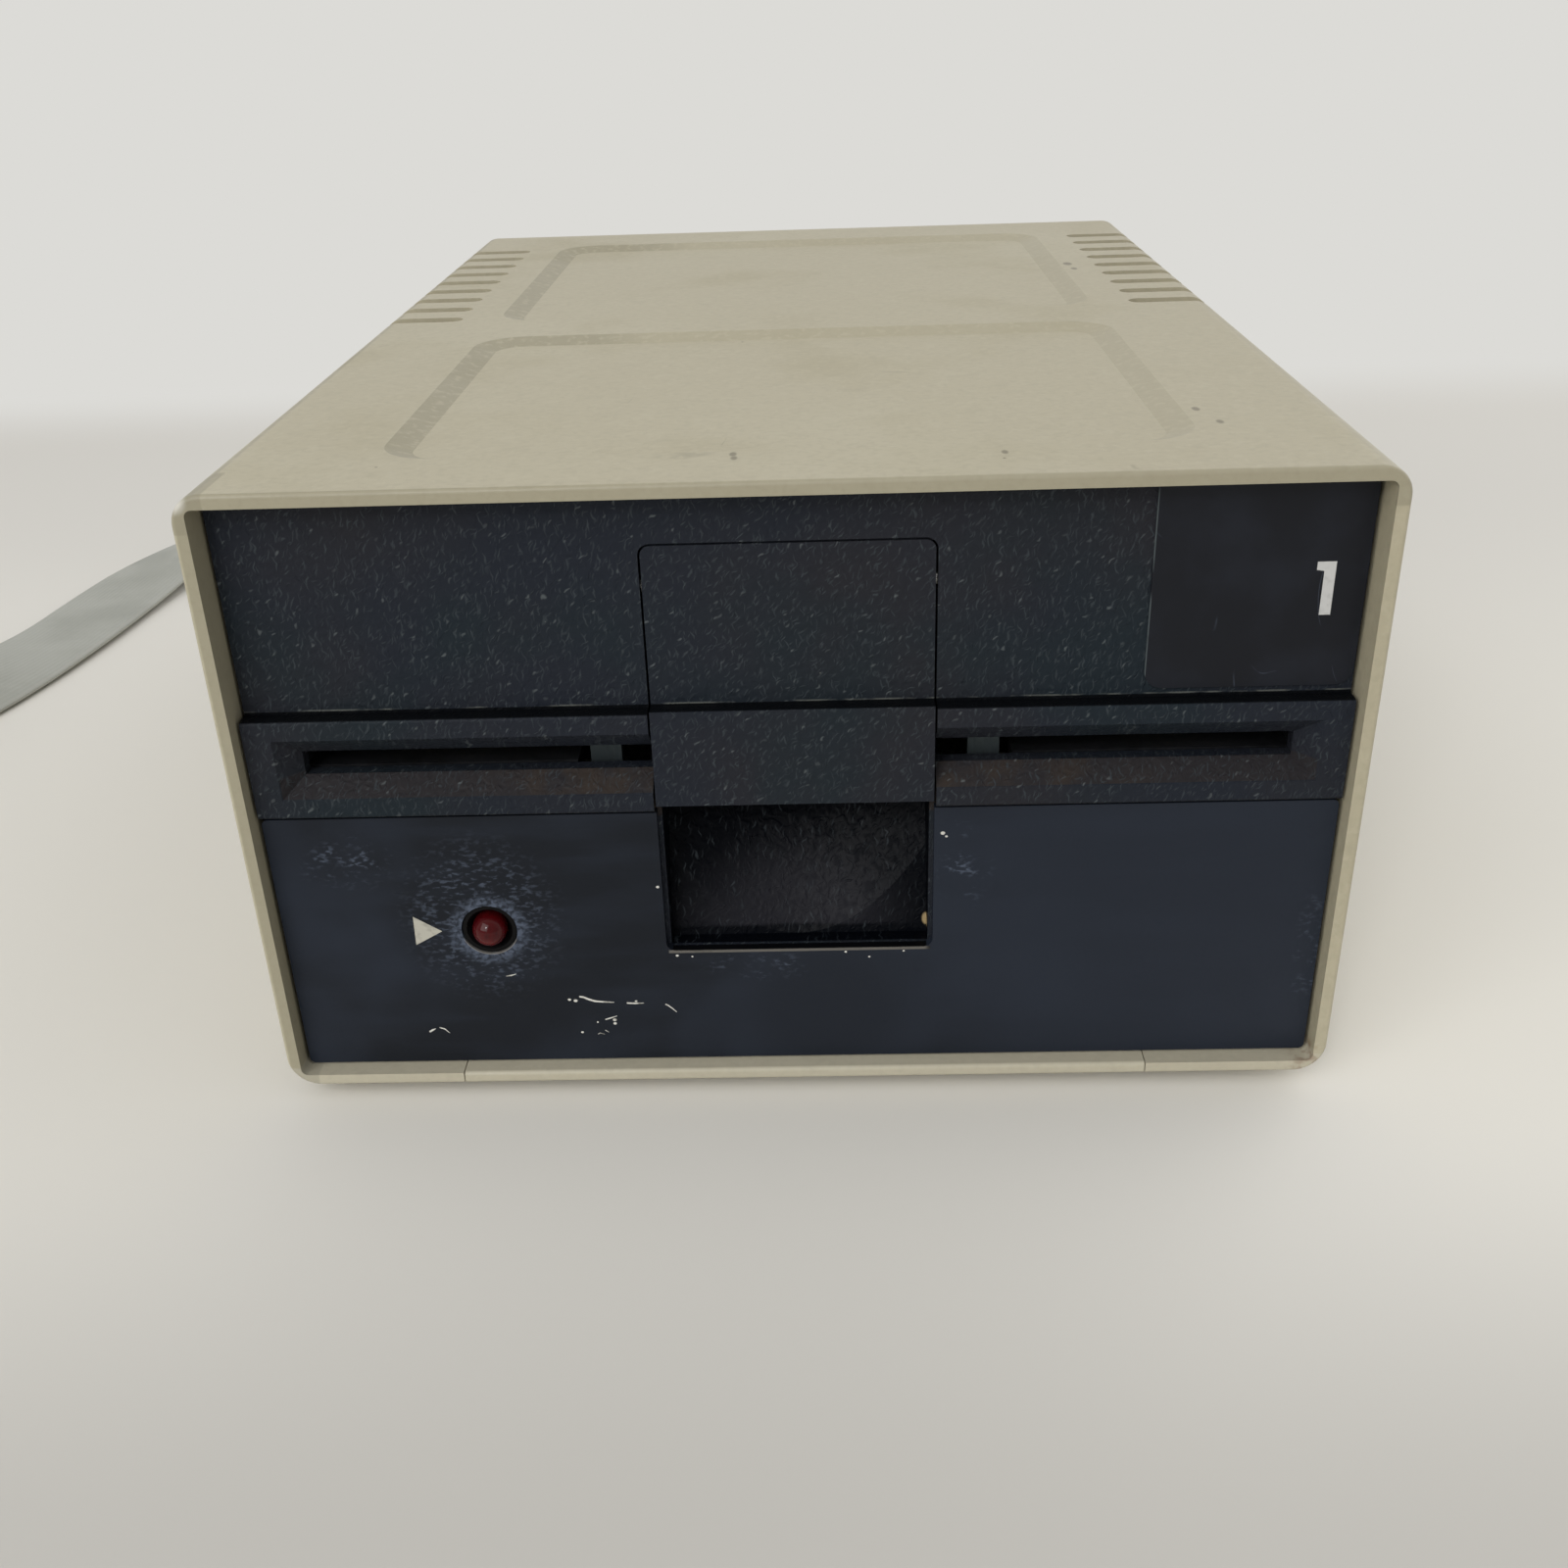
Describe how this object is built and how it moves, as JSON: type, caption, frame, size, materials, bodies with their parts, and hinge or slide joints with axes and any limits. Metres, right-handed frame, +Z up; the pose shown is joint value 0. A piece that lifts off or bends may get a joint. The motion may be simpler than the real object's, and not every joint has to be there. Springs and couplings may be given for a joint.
{
  "type": "external floppy disk drive",
  "caption": "Free-standing diskette drive in a vented sheet case: slotted bezel with a hinged door, finger recess and lamp, spindle, clamp arm, spiral-cam head drive and a ribbon cable.",
  "frame": {"origin": "middle of the case's footprint, on the plane the rubber feet stand on", "axes": "+X to the right seen from the front, +Y to the rear, +Z up; the slot and door face -Y"},
  "size_m": [0.3893, 0.2933, 0.0929],
  "materials": {
    "case_paint": "putty-beige textured paint on sheet steel",
    "foot_rubber": "dull dark rubber",
    "zinc_screw": "zinc-plated steel",
    "grommet_rubber": "black rubber",
    "bezel_plastic": "charcoal plastic with a leathery grain",
    "plate_plastic": "smooth blue-black sheet with wear",
    "bush_plastic": "dark grey bush",
    "lamp_red": "deep red moulded lens",
    "ground_steel": "ground steel",
    "cast_aluminium": "as-cast aluminium",
    "guide_plastic": "black moulded plastic",
    "hub_steel": "turned steel",
    "turned_aluminium": "turned aluminium",
    "belt_rubber": "flat rubber belt",
    "plated_steel": "plated steel",
    "cone_plastic": "ivory moulded plastic",
    "head_ceramic": "polished ceramic",
    "felt_pad": "felt",
    "board_green": "green circuit board",
    "black_package": "black moulded package",
    "part_blue": "sleeved parts",
    "ribbon_grey": "grey flat cable",
    "tie_plastic": "black tie"
  },
  "bodies": {
    "drive": {"case_shell": "case_paint", "base_pan": "case_paint", "rubber_feet": "foot_rubber", "case_screws": "zinc_screw", "frame_screws": "zinc_screw", "bezel_screws": "zinc_screw", "guide_screws": "zinc_screw", "motor_screws": "zinc_screw", "stepper_screws": "zinc_screw", "board_screws": "zinc_screw", "cable_grommet": "grommet_rubber", "front_bezel": "bezel_plastic", "front_plate": "plate_plastic", "drive_label": "plate_plastic", "lamp_bush": "bush_plastic", "lamp_lens": "lamp_red", "door_pin": "ground_steel", "arm_pin": "ground_steel", "guide_rods": "ground_steel", "drive_frame": "cast_aluminium", "guide_left": "guide_plastic", "guide_right": "guide_plastic", "spindle_bearings": "hub_steel", "drive_belt": "belt_rubber", "drive_motor": "plated_steel", "stepper_motor": "plated_steel", "rod_clips": "plated_steel", "clamp_spring": "plated_steel", "circuit_board": "board_green", "speed_board": "board_green", "board_chips": "black_package", "write_switch": "black_package", "track_switch": "black_package", "ribbon_header": "black_package", "ribbon_socket": "black_package", "cable_connector": "black_package", "board_capacitors": "part_blue", "speed_parts": "part_blue", "inner_ribbon": "ribbon_grey", "ribbon_cable": "ribbon_grey", "ribbon_coil": "ribbon_grey", "ribbon_tie": "tie_plastic"},
    "door": {"door": "bezel_plastic"},
    "clamp_arm": {"clamp_arm": "cast_aluminium"},
    "clamp_cone": {"clamp_cone": "cone_plastic", "cone_retainer": "plated_steel"},
    "spindle": {"spindle_hub": "hub_steel", "spindle_pulley": "turned_aluminium"},
    "motor_rotor": {"motor_shaft": "ground_steel", "motor_pulley": "turned_aluminium"},
    "cam": {"cam_disc": "cone_plastic", "stepper_shaft": "ground_steel"},
    "head": {"head_carriage": "cast_aluminium", "rw_head": "head_ceramic", "follower_pin": "ground_steel", "load_arm_pin": "ground_steel"},
    "load_arm": {"load_arm": "guide_plastic", "pressure_pad": "felt_pad"},
    "write_lever": {"write_lever": "guide_plastic"}
  },
  "joints": [
    {"name": "door_hinge", "type": "hinge", "parent": "drive", "child": "door", "pos_m": [0, -0.0974, 0.0775], "axis": [-1, 0, 0], "range_deg": [0, 50.01]},
    {"name": "arm_lift", "type": "hinge", "parent": "drive", "child": "clamp_arm", "pos_m": [0, 0.044, 0.067], "axis": [-1, 0, 0], "range_deg": [0, 5], "deforming": ["clamp_spring"]},
    {"name": "cone_spin", "type": "hinge", "parent": "clamp_arm", "child": "clamp_cone", "pos_m": [0, -0.03, 0.055], "axis": [0, 0, 1], "continuous": true},
    {"name": "spindle_spin", "type": "hinge", "parent": "drive", "child": "spindle", "pos_m": [0, -0.03, 0.04], "axis": [0, 0, 1], "continuous": true},
    {"name": "motor_spin", "type": "hinge", "parent": "drive", "child": "motor_rotor", "pos_m": [-0.0505, 0.078, 0.03], "axis": [0, 0, 1], "continuous": true},
    {"name": "cam_spin", "type": "hinge", "parent": "drive", "child": "cam", "pos_m": [0, 0.073, 0.045], "axis": [0, 0, 1], "range_deg": [0, 510]},
    {"name": "head_slide", "type": "slide", "parent": "drive", "child": "head", "axis": [0, -1, 0], "range_m": [0, 0.018]},
    {"name": "load_arm_lift", "type": "hinge", "parent": "head", "child": "load_arm", "pos_m": [0, 0.038, 0.0563], "axis": [-1, 0, 0], "range_deg": [0, 8]},
    {"name": "write_lever_tilt", "type": "hinge", "parent": "drive", "child": "write_lever", "pos_m": [-0.0625, -0.048, 0.06], "axis": [-1, 0, 0], "range_deg": [0, 12], "stiffness_Nm_per_rad": 0.001, "springref_deg": -11.46}
  ],
  "couplings": [
    {"joint": "door_hinge", "follows": "arm_lift", "ratio": 10},
    {"joint": "load_arm_lift", "follows": "arm_lift", "ratio": 1.6},
    {"joint": "cone_spin", "follows": "spindle_spin", "ratio": 1},
    {"joint": "motor_spin", "follows": "spindle_spin", "ratio": 5},
    {"joint": "head_slide", "follows": "cam_spin", "m_per_rad": 0.0020213}
  ]
}
